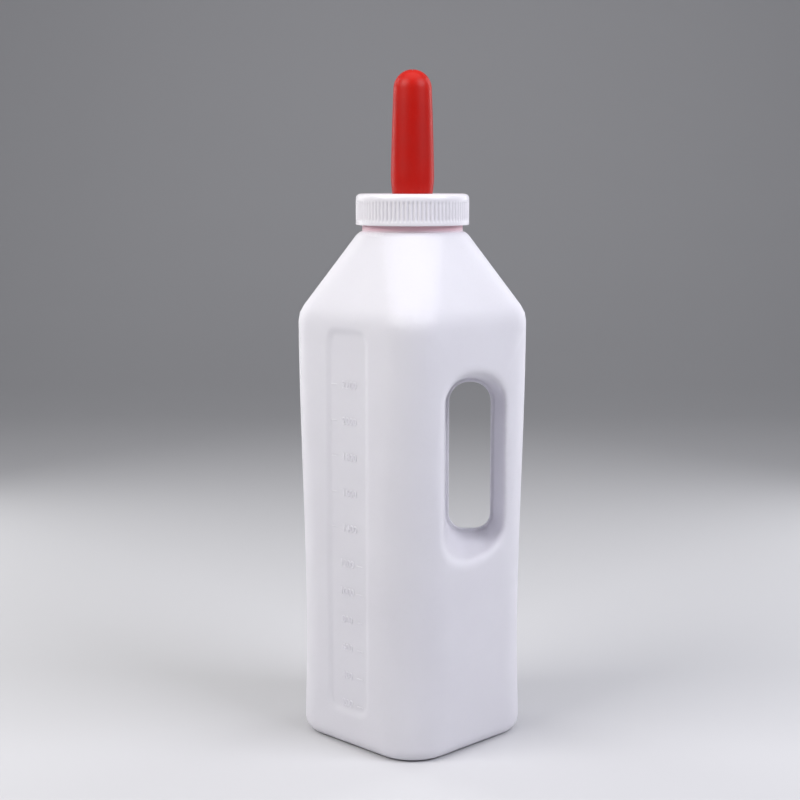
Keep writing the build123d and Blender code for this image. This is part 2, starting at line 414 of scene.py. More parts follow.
def mix_colour(tree, factor, a, b):
    """Mixes two colours, which are the Mix node's inputs 6 and 7."""
    node = add_node(tree, "ShaderNodeMix", {"data_type": "RGBA"})
    feed(tree, node, ((0, factor), (6, a), (7, b)))
    return node.outputs[2]


def moulded_grain_group():
    """Fine grain and slow flow of a moulded surface: a height for the bump and a roughness."""
    group, entry, end = new_group(
        "moulded_grain",
        [("Vector", "NodeSocketVector", None), ("Grain Scale", "NodeSocketFloat", 900.0),
         ("Flow Scale", "NodeSocketFloat", 30.0), ("Flow", "NodeSocketFloat", 0.5),
         ("Roughness", "NodeSocketFloat", 0.4), ("Variation", "NodeSocketFloat", 0.08)],
        [("Height", "NodeSocketFloat"), ("Roughness", "NodeSocketFloat"), ("Tone", "NodeSocketFloat")])
    grain = add_node(group, "ShaderNodeTexNoise", Detail=2.0, Roughness=0.6)
    flow = add_node(group, "ShaderNodeTexNoise", Detail=3.0, Roughness=0.5)
    for node, scale in ((grain, "Grain Scale"), (flow, "Flow Scale")):
        group.links.new(entry.outputs["Vector"], node.inputs["Vector"])
        group.links.new(entry.outputs[scale], node.inputs["Scale"])
    slow = maths(group, "MULTIPLY", flow.outputs["Fac"], entry.outputs["Flow"])
    fine = maths(group, "MULTIPLY", grain.outputs["Fac"], 0.35)
    group.links.new(maths(group, "ADD", slow, fine), end.inputs["Height"])
    swing = maths(group, "MULTIPLY", maths(group, "SUBTRACT", flow.outputs["Fac"], 0.5),
                  maths(group, "MULTIPLY", entry.outputs["Variation"], 2.0))
    group.links.new(maths(group, "ADD", entry.outputs["Roughness"], swing), end.inputs["Roughness"])
    group.links.new(flow.outputs["Fac"], end.inputs["Tone"])
    return group


def edge_wear_group():
    """Mask of the proud edges that handling rubs, broken up so that it isn't a line."""
    group, entry, end = new_group(
        "edge_wear",
        [("Vector", "NodeSocketVector", None), ("Start", "NodeSocketFloat", 0.53),
         ("Full", "NodeSocketFloat", 0.60), ("Break Scale", "NodeSocketFloat", 220.0)],
        [("Mask", "NodeSocketFloat")])
    geometry = group.nodes.new("ShaderNodeNewGeometry")
    edge = remap(group, geometry.outputs["Pointiness"], entry.outputs["Start"], entry.outputs["Full"],
                 0.0, 1.0)
    patches = add_node(group, "ShaderNodeTexNoise", Detail=5.0, Roughness=0.65)
    group.links.new(entry.outputs["Vector"], patches.inputs["Vector"])
    group.links.new(entry.outputs["Break Scale"], patches.inputs["Scale"])
    broken = remap(group, patches.outputs["Fac"], 0.42, 0.62, 0.2, 1.0)
    group.links.new(maths(group, "MULTIPLY", edge, broken), end.inputs["Mask"])
    return group


def fine_dust_group():
    """Mask of dust and faint scuffs, heavier on surfaces that face up."""
    group, entry, end = new_group(
        "fine_dust",
        [("Vector", "NodeSocketVector", None), ("Amount", "NodeSocketFloat", 0.3),
         ("Speck Scale", "NodeSocketFloat", 420.0)],
        [("Mask", "NodeSocketFloat")])
    clouds = add_node(group, "ShaderNodeTexNoise", Scale=14.0, Detail=4.0, Roughness=0.6)
    specks = add_node(group, "ShaderNodeTexNoise", Detail=3.0, Roughness=0.7)
    group.links.new(entry.outputs["Vector"], clouds.inputs["Vector"])
    group.links.new(entry.outputs["Vector"], specks.inputs["Vector"])
    group.links.new(entry.outputs["Speck Scale"], specks.inputs["Scale"])
    geometry = group.nodes.new("ShaderNodeNewGeometry")
    split = group.nodes.new("ShaderNodeSeparateXYZ")
    group.links.new(geometry.outputs["Normal"], split.inputs["Vector"])
    upward = remap(group, split.outputs["Z"], -0.2, 1.0, 0.35, 1.0)
    cloudy = remap(group, clouds.outputs["Fac"], 0.40, 0.75, 0.0, 1.0)
    speckled = remap(group, specks.outputs["Fac"], 0.55, 0.75, 0.0, 1.0)
    both = maths(group, "MAXIMUM", maths(group, "MULTIPLY", cloudy, 0.5), speckled)
    shaped = maths(group, "MULTIPLY", both, upward)
    group.links.new(maths(group, "MULTIPLY", shaped, entry.outputs["Amount"]), end.inputs["Mask"])
    return group


def place_group(tree, group, vector, **values):
    node = add_node(tree, "ShaderNodeGroup", {"node_tree": group}, **values)
    tree.links.new(vector, node.inputs["Vector"])
    return node


def start_material(name):
    """A material with an empty tree but for its output and Principled shader, and Object coordinates."""
    material = bpy.data.materials.new(name)
    material.use_nodes = True
    tree = material.node_tree
    shader = next(node for node in tree.nodes if node.type == "BSDF_PRINCIPLED")
    place = tree.nodes.new("ShaderNodeTexCoord").outputs["Object"]
    return material, tree, shader, place


def finish_shader(tree, shader, base, rough, height, strength, distance, values):
    """Links a finish's colour, roughness and bump to its shader, and sets the shader's other inputs."""
    bump = add_node(tree, "ShaderNodeBump", Strength=strength, Distance=distance)
    tree.links.new(height, bump.inputs["Height"])
    for source, name in ((base, "Base Color"), (rough, "Roughness"), (bump.outputs["Normal"], "Normal")):
        tree.links.new(source, shader.inputs[name])
    set_inputs(shader, values)


def tone_of(tree, grain, most=1.0):
    """The slow change of tone of a moulded grain, spread from 0 to most."""
    return remap(tree, grain.outputs["Tone"], 0.3, 0.7, 0.0, most)


def shared_groups():
    """The three shared groups, made once."""
    makers = {"moulded_grain": moulded_grain_group, "edge_wear": edge_wear_group,
              "fine_dust": fine_dust_group}
    return {name: bpy.data.node_groups.get(name) or maker() for name, maker in makers.items()}


def polyethylene(colours, shape):
    """Translucent natural polyethylene, with a painted red glow on the neck that stands for the teat's red
    light shining through the plastic.
    """
    found = bpy.data.materials.get("hdpe_natural")
    if found:
        return found
    groups = shared_groups()
    material, tree, shader, place = start_material("hdpe_natural")
    grain = place_group(tree, groups["moulded_grain"], place, Grain_Scale=1500.0, Flow_Scale=22.0, Flow=0.9,
                        Roughness=0.52, Variation=0.06)
    wear = place_group(tree, groups["edge_wear"], place, Start=0.515, Full=0.56)
    dust = place_group(tree, groups["fine_dust"], place, Amount=0.25, Speck_Scale=500.0)
    split = tree.nodes.new("ShaderNodeSeparateXYZ")
    tree.links.new(place, split.inputs["Vector"])
    # Painted light: the neck above the ledge is tinted red all round, for the red light of the teat glowing
    # through the plastic. The tint is painted on the body, so it stays on the neck when the teat moves.
    above = remap(tree, split.outputs["Z"], shape.ledge_height - 0.5 * MM, shape.ledge_height + 1.5 * MM,
                  0.0, 1.0)
    painted_glow = maths(tree, "MULTIPLY", above, 0.9)
    dusty, rubbed = (0.62, 0.60, 0.58, 1.0), (0.90, 0.90, 0.93, 1.0)
    body = (*colours.body, 1.0)
    darker = (*[channel * 0.965 for channel in colours.body], 1.0)
    base = mix_colour(tree, tone_of(tree, grain), body, darker)
    base = mix_colour(tree, dust.outputs["Mask"], base, dusty)
    base = mix_colour(tree, maths(tree, "MULTIPLY", wear.outputs["Mask"], 0.5), base, rubbed)
    base = mix_colour(tree, painted_glow, base, (*colours.painted_neck_glow, 1.0))
    rough = maths(tree, "ADD", grain.outputs["Roughness"], maths(tree, "MULTIPLY", dust.outputs["Mask"], 0.2))
    finish_shader(tree, shader, base, rough, grain.outputs["Height"], 0.12, 0.4 * MM,
                  {"IOR": 1.5, "Specular IOR Level": 0.36, "Subsurface Weight": 0.6,
                   "Subsurface Radius": (1.0, 0.95, 1.0), "Subsurface Scale": 4 * MM})
    return material


def cap_plastic(colours):
    """Opaque white moulded plastic with a light sheen."""
    groups = shared_groups()
    material, tree, shader, place = start_material("cap_white")
    grain = place_group(tree, groups["moulded_grain"], place, Grain_Scale=2200.0, Flow_Scale=60.0, Flow=0.3,
                        Roughness=0.36, Variation=0.08)
    wear = place_group(tree, groups["edge_wear"], place, Start=0.53, Full=0.62)
    dust = place_group(tree, groups["fine_dust"], place, Amount=0.3, Speck_Scale=900.0)
    dusty, rubbed = (0.66, 0.64, 0.61, 1.0), (0.86, 0.86, 0.88, 1.0)
    base = mix_colour(tree, dust.outputs["Mask"], (*colours.cap, 1.0), dusty)
    base = mix_colour(tree, maths(tree, "MULTIPLY", wear.outputs["Mask"], 0.2), base, rubbed)
    finish_shader(tree, shader, base, grain.outputs["Roughness"], grain.outputs["Height"], 0.1, 0.2 * MM,
                  {"IOR": 1.5, "Subsurface Weight": 0.25, "Subsurface Radius": (1.0, 0.95, 0.95),
                   "Subsurface Scale": 1.2 * MM})
    return material


def red_rubber(colours):
    """Soft satin rubber, paler towards the tip as a painted highlight where the top light falls, with a dusting
    of talc.
    """
    groups = shared_groups()
    material, tree, shader, place = start_material("rubber_red")
    grain = place_group(tree, groups["moulded_grain"], place, Grain_Scale=1400.0, Flow_Scale=70.0, Flow=0.6,
                        Roughness=0.40, Variation=0.10)
    dust = place_group(tree, groups["fine_dust"], place, Amount=0.22, Speck_Scale=1300.0)
    split = tree.nodes.new("ShaderNodeSeparateXYZ")
    tree.links.new(place, split.inputs["Vector"])
    # Painted highlight: the rubber turns paler over the top 22 mm towards the tip, where the top light falls.
    tip = remap(tree, split.outputs["Z"], TEAT_HIGH.z - 22 * MM, TEAT_HIGH.z, 0.0, 1.0)
    red, green, blue = colours.rubber
    painted_tip_highlight = (min(1.0, red * 1.25), green * 1.8, blue * 1.6, 1.0)
    darker, talc = (red * 0.8, green, blue, 1.0), (0.50, 0.12, 0.10, 1.0)
    base = mix_colour(tree, tip, (*colours.rubber, 1.0), painted_tip_highlight)
    base = mix_colour(tree, tone_of(tree, grain, 0.35), base, darker)
    base = mix_colour(tree, dust.outputs["Mask"], base, talc)
    rough = maths(tree, "ADD", grain.outputs["Roughness"], maths(tree, "MULTIPLY", dust.outputs["Mask"], 0.4))
    finish_shader(tree, shader, base, rough, grain.outputs["Height"], 0.25, 0.3 * MM,
                  {"IOR": 1.45, "Specular IOR Level": 0.22, "Subsurface Weight": 0.15,
                   "Subsurface Radius": (1.0, 0.2, 0.12), "Subsurface Scale": 2.5 * MM})
    return material


def plain_moulding(name, tint, roughness, grain_scale):
    """Finish of the valve's pieces: a fine matt moulding with worn edges."""
    found = bpy.data.materials.get(name)
    if found:
        return found
    groups = shared_groups()
    material, tree, shader, place = start_material(name)
    grain = place_group(tree, groups["moulded_grain"], place, Grain_Scale=grain_scale, Flow_Scale=90.0,
                        Flow=0.3, Roughness=roughness, Variation=0.1)
    wear = place_group(tree, groups["edge_wear"], place, Start=0.54, Full=0.64)
    darker = (*[channel * 0.9 for channel in tint], 1.0)
    rubbed = (*[min(1.0, channel * 1.3) for channel in tint], 1.0)
    base = mix_colour(tree, tone_of(tree, grain), (*tint, 1.0), darker)
    base = mix_colour(tree, wear.outputs["Mask"], base, rubbed)
    finish_shader(tree, shader, base, grain.outputs["Roughness"], grain.outputs["Height"], 0.15, 0.2 * MM, {})
    return material


# ---------------------------------------------------------------- the body


def upright_corner(shape, height):
    """Radius of the body's upright corners at a height."""
    if height < shape.waist_height:
        return blend(shape.base_corner, shape.waist_corner, ease(height / shape.waist_height))
    rise = (height - shape.waist_height) / (shape.body_height - shape.waist_height)
    return blend(shape.waist_corner, shape.corner, ease(rise))


def level_corner(shape, half, height):
    """Corner radius of the level whose half width and height these are, from the push-up to the neck."""
    half_side, half_ledge = shape.side / 2, shape.ledge_width / 2
    foot = half_side - shape.base_round
    hollow = foot - shape.foot_width
    if height > shape.body_height - shape.shoulder_round:
        if half < half_ledge:
            share = (half - shape.neck_radius) / (half_ledge - shape.neck_radius)
            return blend(shape.neck_radius, shape.ledge_corner, min(1.0, max(0.0, share)))
        return blend(shape.ledge_corner, upright_corner(shape, height),
                     (half - half_ledge) / (half_side - half_ledge))
    if half > foot:
        return upright_corner(shape, height) - (half_side - half)
    if half > hollow:
        return blend(shape.corner, shape.base_corner - shape.base_round, (half - hollow) / shape.foot_width)
    return shape.corner * half / hollow


def half_section(half, corner, column):
    """(x, y) on the front half of a rounded square that stands on its corner."""
    reach = (half - corner) * sqrt(2)
    kind, value = column
    ends = {"left": Vector((-reach, 0)), "front": Vector((0, -reach)), "right": Vector((reach, 0))}
    if kind in ends:
        return ends[kind] + Vector((cos(value), sin(value))) * corner
    if kind == "left flat":
        before, after, angle = "left", "front", 1.25 * pi
    else:
        before, after, angle = "front", "right", 1.75 * pi
    step = Vector((cos(angle), sin(angle))) * corner
    return (ends[before] + step).lerp(ends[after] + step, value)


def half_columns(corner_steps, flat_steps, seam_angle):
    """The columns of the front half, from the left corner's middle to the right corner's middle. The two at
    each end are close together, for the parting line."""
    columns = [("left", pi), ("left", pi + seam_angle)]
    columns += [("left", pi + CORNER * step / corner_steps) for step in range(1, corner_steps + 1)]
    columns += [("left flat", step / flat_steps) for step in range(1, flat_steps)]
    columns += [("front", 1.25 * pi + CORNER * step / corner_steps) for step in range(2 * corner_steps + 1)]
    columns += [("right flat", step / flat_steps) for step in range(1, flat_steps)]
    columns += [("right", 1.75 * pi + CORNER * step / corner_steps) for step in range(corner_steps)]
    columns += [("right", 2 * pi - seam_angle), ("right", 2 * pi)]
    return columns


def body_depth(shape, x, height):
    """Distance from the parting plane to the body's surface at this x and height, on its straight part."""
    corner = upright_corner(shape, height)
    reach = (shape.side / 2 - corner) * sqrt(2)
    bend = corner / sqrt(2)
    if abs(x) < bend:
        return reach + sqrt(corner ** 2 - x ** 2)
    if abs(x) < reach + bend:
        return reach + bend * 2 - abs(x)
    return sqrt(max(0.0, corner ** 2 - (abs(x) - reach) ** 2))


def on_surface(shape, point):
    """The body's surface in front of an (x, z) point."""
    return Vector((point.x, -body_depth(shape, point.x, point.y), point.y))


def on_front_left(distance, across, height):
    """A point at a distance from the axis along the front left side's normal, to the right of its middle."""
    return FACE_OUT * distance + FACE_RIGHT * across + Vector((0, 0, height))


def add_grip(bm, grid, columns, heights, shape, grip):
    """Opens the front right side, carries its edge over the pocket's rim and down to the opening."""
    past_front, short_of_right = radians(17), radians(19)
    below, above = 28 * MM, 32 * MM
    first = next(i for i, c in enumerate(columns) if c[0] == "front" and c[1] > 1.5 * pi + past_front)
    last = next(i for i, c in enumerate(columns) if c[0] == "right" and c[1] > 2 * pi - short_of_right)
    low = max(i for i, z in enumerate(heights) if z < grip.bottom - below)
    high = min(i for i, z in enumerate(heights) if z > grip.top + above)
    ring, places = open_window(bm, grid, (first, last), (low, high))
    web_y = grip.web_thickness / 2
    rings = []
    for vert, (side, fraction) in zip(ring, places):
        def outline(grow):
            return rounded_outline(grip.left - grow, grip.right + grow, grip.bottom - grow, grip.top + grow,
                                   grip.bottom_round + grow, grip.top_round + grow, side, fraction)

        foot = outline(grip.web)
        mouth = rounded_outline(grip.mouth_left, grip.mouth_right, grip.mouth_bottom, grip.mouth_top,
                                grip.mouth_round, grip.mouth_round, side, fraction)
        foot3 = Vector((foot.x, -web_y, foot.y))
        mouth3 = Vector((mouth.x, -grip.mouth_depth, mouth.y))
        meets = solve(lambda s: -foot3.lerp(mouth3, s).y
                      - body_depth(shape, foot3.lerp(mouth3, s).x, foot3.lerp(mouth3, s).z), 0.0, 1.0)
        edge = foot3.lerp(mouth3, meets)
        away = (mouth - foot).normalized()
        flat_edge = Vector((edge.x, edge.z))
        rim = min(grip.rim, (edge - foot3).length * 0.8)
        reach = solve(lambda d: (on_surface(shape, flat_edge + away * d) - edge).length - grip.rim,
                      0.0, grip.rim)
        outer = on_surface(shape, flat_edge + away * reach)
        start = Vector((vert.co.x, vert.co.z))
        between = on_surface(shape, start.lerp(Vector((outer.x, outer.z)), 0.5))
        inner = edge + (foot3 - edge).normalized() * rim
        heel = min(2.2 * MM, (inner - foot3).length * 0.5)
        path = [between, outer]
        path += curve_through(outer, edge, inner, 8)
        before_heel = foot3 + (edge - foot3).normalized() * heel
        for step in range(1, 4):
            path.append(inner.lerp(before_heel, step / 3))
        flat_in = outline(grip.web - 1.0 * MM)
        path += curve_through(before_heel, foot3, Vector((flat_in.x, -web_y, flat_in.y)), 3)
        for grow, y in ((0.5 * MM, -web_y), (0.22 * MM, -web_y), (0.06 * MM, -web_y + 0.15 * MM),
                        (0.0, -web_y + 0.45 * MM), (0.0, 0.0)):
            point = outline(grow)
            path.append(Vector((point.x, y, point.y)))
        rings.append(path)
    for places_now in zip(*rings):
        ring = extrude_ring(bm, ring, places_now)


def add_panel(bm, grid, columns, heights, shape, panel):
    """Opens the front left side, sinks the panel in it and closes the panel's floor."""
    flats = [i for i, c in enumerate(columns) if c[0] == "left flat"]
    low = max(i for i, z in enumerate(heights) if z < panel.bottom - 3 * MM)
    high = min(i for i, z in enumerate(heights) if z > panel.top + 3 * MM)
    ring, places = open_window(bm, grid, (flats[0], flats[-1]), (low, high))
    # how far each ring lies inside the panel's outline and how deep, in mm, on a panel 1.2 mm deep
    slope = ((-2.0, 0.0), (-1.0, 0.05), (0.0, 0.22), (1.0, 0.52), (2.0, 0.86), (3.0, 1.1), (4.0, 1.19),
             (5.5, 1.2))
    for inset, level in slope:
        shrink, sink = inset * MM, level * panel.depth / slope[-1][1]
        corner = panel.corner - shrink
        targets = []
        for side, fraction in places:
            point = rounded_outline(shrink - panel.width / 2, panel.width / 2 - shrink, panel.bottom + shrink,
                                    panel.top - shrink, corner, corner, side, fraction)
            targets.append(on_front_left(shape.side / 2 - sink, point.x, point.y))
        ring = extrude_ring(bm, ring, targets)
    bmesh.ops.contextual_create(bm, geom=ring_edges(bm, ring))


def make_body(shape, grip, panel):
    """The whole body but for its wall: a grid wrapped on the front half, the grip, the mirror and the panel."""
    half_side, half_ledge = shape.side / 2, shape.ledge_width / 2
    foot = half_side - shape.base_round
    hollow = foot - shape.foot_width
    mesh_step = 4.4 * MM
    profile = rounded_path([
        (0.0, shape.push_up, 0.0), (hollow - shape.push_up, shape.push_up, 2 * MM), (hollow, 0.0, 1.5 * MM),
        (half_side, 0.0, shape.base_round), (half_side, shape.body_height, shape.shoulder_round),
        (half_ledge + 1.1 * MM, shape.ledge_height - 2.25 * MM, shape.ledge_round),
        (shape.neck_radius + 0.9 * MM, shape.ledge_height - 0.45 * MM, 1.5 * MM),
        (shape.neck_radius, shape.ledge_height - 0.1 * MM, 0.4 * MM),
        (shape.neck_radius, BOTTLE_HIGH.z, 0.0)], mesh_step)
    columns = half_columns(8, 16, radians(1.3))
    bm = bmesh.new()
    bmesh.ops.create_grid(bm, x_segments=len(columns) - 1, y_segments=len(profile) - 1, size=1.0)
    verts = sorted(bm.verts, key=lambda v: (round(v.co.y, 5), round(v.co.x, 5)))
    grid = [verts[row * len(columns):(row + 1) * len(columns)] for row in range(len(profile))]
    for row, (half, height) in enumerate(profile):
        corner = level_corner(shape, half, height)
        for column, vert in zip(columns, grid[row]):
            x, y = half_section(half, corner, column)
            vert.co = (x, y, height)
    # the first row is a line along the parting plane, which the mirrored half shares
    spread = profile[1][0] * sqrt(2) * 0.8
    for place, vert in enumerate(grid[0]):
        vert.co = (blend(-spread, spread, place / (len(columns) - 1)), 0, shape.push_up)
    # rows off the upright sides count as far below or far above them
    heights = [height if half > foot else (-1.0 if height < shape.waist_height else 1.0)
               for half, height in profile]
    add_grip(bm, grid, columns, heights, shape, grip)
    for row, (half, height) in enumerate(profile):
        if half > foot * 0.5 and shape.base_round * 0.5 < height < shape.ledge_height - 1 * MM:
            for end in (0, -1):
                vert = grid[row][end]
                vert.co.x += shape.seam if vert.co.x > 0 else -shape.seam
    bmesh.ops.mirror(bm, geom=bm.verts[:] + bm.edges[:] + bm.faces[:], merge_dist=1e-6, axis="Y")
    bmesh.ops.remove_doubles(bm, verts=bm.verts, dist=1e-6)
    add_panel(bm, grid, columns, heights, shape, panel)
    bmesh.ops.recalc_face_normals(bm, faces=bm.faces)
    return bm


class BOTTLE_OT_body(bpy.types.Operator):
    """Build the blow-moulded body with its grip, panel, neck and thread"""

    bl_idname = "bottle.body"
    bl_label = "Bottle body"

    def execute(self, context):
        scene = context.scene
        shape = scene.bottle_shape
        bm = make_body(shape, scene.bottle_grip, scene.bottle_panel)
        bmesh.ops.solidify(bm, geom=bm.faces[:], thickness=shape.wall)
        start, turns = 315.4 * MM, 1.4
        add_thread(bm, shape.neck_radius, shape.thread_rise, start, turns, shape.thread_pitch, 0.0)
        finish_piece("body", bm, "bottle", polyethylene(scene.bottle_finishes, shape),
                     replaced=["bottle_body"])
        return {"FINISHED"}


def add_number(bm, words, size, thickness):
    """Adds flat raised words to the mesh, lying round the origin, and returns their vertices."""
    text = bpy.data.curves.new("scale_number", "FONT")
    text.body = words
    text.size = size
    text.extrude = thickness / 2
    text.bevel_depth = 0.12 * MM
    text.bevel_resolution = 1
    text.resolution_u = 3
    text.align_x = "CENTER"
    text.align_y = "CENTER"
    holder = bpy.data.objects.new("scale_number", text)
    bpy.context.scene.collection.objects.link(holder)
    mesh = bpy.data.meshes.new_from_object(holder)
    bpy.data.objects.remove(holder)
    known = set(bm.verts)
    bm.from_mesh(mesh)
    bpy.data.meshes.remove(mesh)
    return [vert for vert in bm.verts if vert not in known]


class BOTTLE_OT_scale(bpy.types.Operator):
    """Build the raised marks and numbers of the measuring scale"""

    bl_idname = "bottle.scale"
    bl_label = "Measuring scale"

    def execute(self, context):
        scene = context.scene
        shape, panel = scene.bottle_shape, scene.bottle_panel
        sink = 0.4 * MM
        thickness = panel.mark_lift + sink
        middle = shape.side / 2 - panel.depth + (panel.mark_lift - sink) / 2
        heights = [panel.first_mark + panel.low_step * step for step in range(panel.low_marks)]
        heights += [heights[-1] + panel.beside_step * (step + 1) for step in range(panel.beside_marks)]
        bm = bmesh.new()
        for number, height in enumerate(heights):
            upper = number >= panel.low_marks
            across = 1.0 * MM if upper else -1.6 * MM
            words = str((number + 1) * panel.volume_step)
            for vert in add_number(bm, words, panel.number_size, thickness):
                x, y, z = vert.co
                vert.co = on_front_left(middle + z, across + x, height + y)
            tick = -panel.beside_place if upper else panel.low_place
            bar = bmesh.ops.create_cube(bm, size=1.0)["verts"]
            for vert in bar:
                x, y, z = vert.co
                vert.co = on_front_left(middle + z * thickness, tick + x * panel.mark_length,
                                        height + y * panel.mark_width)
            edges = {edge for vert in bar for edge in vert.link_edges}
            bmesh.ops.bevel(bm, geom=list(edges), affect="EDGES", offset=0.18 * MM, segments=2, profile=0.5,
                            material=-1)
        bmesh.ops.remove_doubles(bm, verts=bm.verts, dist=1e-7)
        bmesh.ops.recalc_face_normals(bm, faces=bm.faces)
        material = polyethylene(scene.bottle_finishes, shape).copy()
        material.name = "hdpe_marks"
        set_inputs(material.node_tree.nodes["Principled BSDF"], {"Subsurface Weight": 0.0})
        finish_piece("scale_marks", bm, "bottle", material)
        return {"FINISHED"}


# ---------------------------------------------------------------- the cap, the teat and the valve


class BOTTLE_OT_cap(bpy.types.Operator):
    """Build the ribbed screw cap with its inner thread"""

    bl_idname = "bottle.cap"
    bl_label = "Screw cap"

    def execute(self, context):
        scene = context.scene
        shape = scene.bottle_cap
        radius, low, high = CAP_HIGH.x, CAP_LOW.z, CAP_HIGH.z
        under = high - shape.plate
        rib_low, rib_high = low + shape.rib_bottom, high - shape.rib_top
        outer = rounded_path([
            (shape.bore, low, 0.0), (radius, low, 0.5 * MM), (radius, high, shape.rounding),
            (shape.hole, high, 0.5 * MM), (shape.hole, under, 0.4 * MM), (shape.bore, under, 1.0 * MM),
            (shape.bore, low + 0.4 * MM, 0.0)], 0.9 * MM)
        per_rib, fade = 6, 0.5 * MM
        bm = bmesh.new()
        spin_profile(bm, outer, shape.rib_count * per_rib)
        for vert in bm.verts:
            distance = hypot(vert.co.x, vert.co.y)
            if distance > radius - 1.5 * MM and vert.co.z > low + 0.2 * MM:
                ends = min(ease((vert.co.z - rib_low) / fade), ease((rib_high - vert.co.z) / fade))
                turn = atan2(vert.co.y, vert.co.x) * shape.rib_count
                groove = (0.5 + 0.5 * cos(turn)) ** 1.3
                held = distance - shape.rib_depth * groove * ends
                vert.co.x *= held / distance
                vert.co.y *= held / distance
        neck = scene.bottle_shape
        start, turns = 314.95 * MM, 1.1
        add_thread(bm, shape.bore, -neck.thread_rise, start, turns, neck.thread_pitch, pi / 2)
        finish_piece("cap", bm, "cap", cap_plastic(scene.bottle_finishes),
                     replaced=["screw_cap"])
        return {"FINISHED"}


class BOTTLE_OT_teat(bpy.types.Operator):
    """Build the hollow rubber teat with its flange and cross slit"""

    bl_idname = "bottle.teat"
    bl_label = "Teat"

    def execute(self, context):
        scene = context.scene
        shape = scene.bottle_teat
        top, low = TEAT_HIGH.z, TEAT_LOW.z
        flange_top = low + shape.flange_thickness
        cap_top = CAP_HIGH.z
        bulge = cap_top + shape.bulge_rise
        dome = top - shape.tip
        side_steps, tip_steps, inner_steps, round_steps = 34, 16, 8, 96

        def outer_radius(height):
            if height < bulge:
                return blend(shape.groove, shape.bulge, sin(pi / 2 * (height - cap_top) / (bulge - cap_top)))
            fall = (height - bulge) / (dome - bulge)
            return blend(shape.bulge, shape.tip, fall ** 1.35)

        side_heights = [blend(cap_top, dome, step / side_steps) for step in range(side_steps + 1)]
        outside = rounded_path([
            (shape.groove - shape.wall, low, 0.0), (shape.flange, low, 0.6 * MM),
            (shape.flange, flange_top, 0.8 * MM), (shape.groove, flange_top, 0.4 * MM),
            (shape.groove, cap_top - 0.2 * MM, 0.0)], 2.0 * MM)
        outside += [Vector((outer_radius(z), z)) for z in side_heights]
        outside += [Vector((shape.tip * cos(a), dome + shape.tip * sin(a)))
                    for a in (pi / 2 * step / tip_steps for step in range(1, tip_steps))]
        inside_tip = shape.tip - shape.wall
        inside = [Vector((inside_tip * sin(a), dome + inside_tip * cos(a)))
                  for a in (pi / 2 * step / inner_steps for step in range(1, inner_steps + 1))]
        inside += [Vector((outer_radius(z) - shape.wall, z)) for z in reversed(side_heights[1:])]
        bm = bmesh.new()
        closed = outside + [Vector((0.0, top)), Vector((0.0, top - shape.wall))] + inside
        spin_profile(bm, closed, round_steps)
        reach, crown = shape.slit / 2, top - 2.0 * MM
        cuts = [edge for edge in bm.edges
                if all(v.co.z > crown and hypot(v.co.x, v.co.y) < reach * 1.02
                       and min(abs(v.co.x), abs(v.co.y)) < 1e-5 for v in edge.verts)
                and (edge.verts[0].co - edge.verts[1].co).to_2d().length > 1e-5]
        bmesh.ops.bevel(bm, geom=cuts, affect="EDGES", offset=0.28 * MM, segments=2, profile=0.5, material=-1)
        for vert in bm.verts:
            near, far = sorted((abs(vert.co.x), abs(vert.co.y)))
            if near < 0.06 * MM and far < reach and vert.co.z > crown:
                vert.co.z -= 0.9 * MM * ease(2.5 * (1 - far / reach))
        bmesh.ops.recalc_face_normals(bm, faces=bm.faces)
        finish_piece("teat_rubber", bm, "head", red_rubber(scene.bottle_finishes),
                     replaced=["teat"])
        return {"FINISHED"}


class BOTTLE_OT_valve(bpy.types.Operator):
    """Give the valve's pieces in the neck their finishes"""

    bl_idname = "bottle.valve"
    bl_label = "Check valve"

    def execute(self, context):
        colours = context.scene.bottle_finishes
        plastic = plain_moulding("valve_white", colours.valve, 0.45, 1800.0)
        rubber = plain_moulding("valve_grey_rubber", colours.disc, 0.62, 1200.0)
        for node, material in (("valve_plate", plastic), ("valve_retainer", plastic), ("check_disc", rubber)):
            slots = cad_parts[node].data.materials
            slots.clear()
            slots.append(material)
        return {"FINISHED"}


# ---------------------------------------------------------------- the stage


CAMERA_PLACE = (-0.0075, -0.948, 0.342)
CAMERA_TILT = radians(8.1)      # how far it looks down
CAMERA_LENS = 70.4

# name, place, size, power and tint of each light, all turned to the bottle's middle
LIGHTS = (("left_softbox", (-0.85, -0.5, 0.98), (0.8, 0.7), 12.5, (1.0, 0.98, 0.975)),
          ("right_softbox", (0.85, -0.5, 0.98), (0.8, 0.7), 13.0, (0.92, 0.92, 1.0)),
          ("top_softbox", (0.0, -0.1, 1.25), (1.0, 0.8), 4.0, (1.0, 0.99, 0.99)),
          ("left_rim", (-0.65, 0.55, 0.45), (0.25, 0.9), 2.2, (1.0, 1.0, 1.0)),
          ("right_rim", (0.65, 0.55, 0.45), (0.25, 0.9), 2.2, (0.96, 0.97, 1.0)))
LIT_POINT = Vector((0, 0, 0.3))


def floor_finish(floor_colour):
    """Pale matt floor with a slow change of tone."""
    material, tree, shader, place = start_material("studio_floor")
    grain = place_group(tree, shared_groups()["moulded_grain"], place, Grain_Scale=60.0, Flow_Scale=1.2,
                        Flow=0.2, Roughness=0.75, Variation=0.05)
    darker = (*[channel * 0.97 for channel in floor_colour], 1.0)
    base = mix_colour(tree, tone_of(tree, grain), (*floor_colour, 1.0), darker)
    tree.links.new(base, shader.inputs["Base Color"])
    tree.links.new(grain.outputs["Roughness"], shader.inputs["Roughness"])
    return material


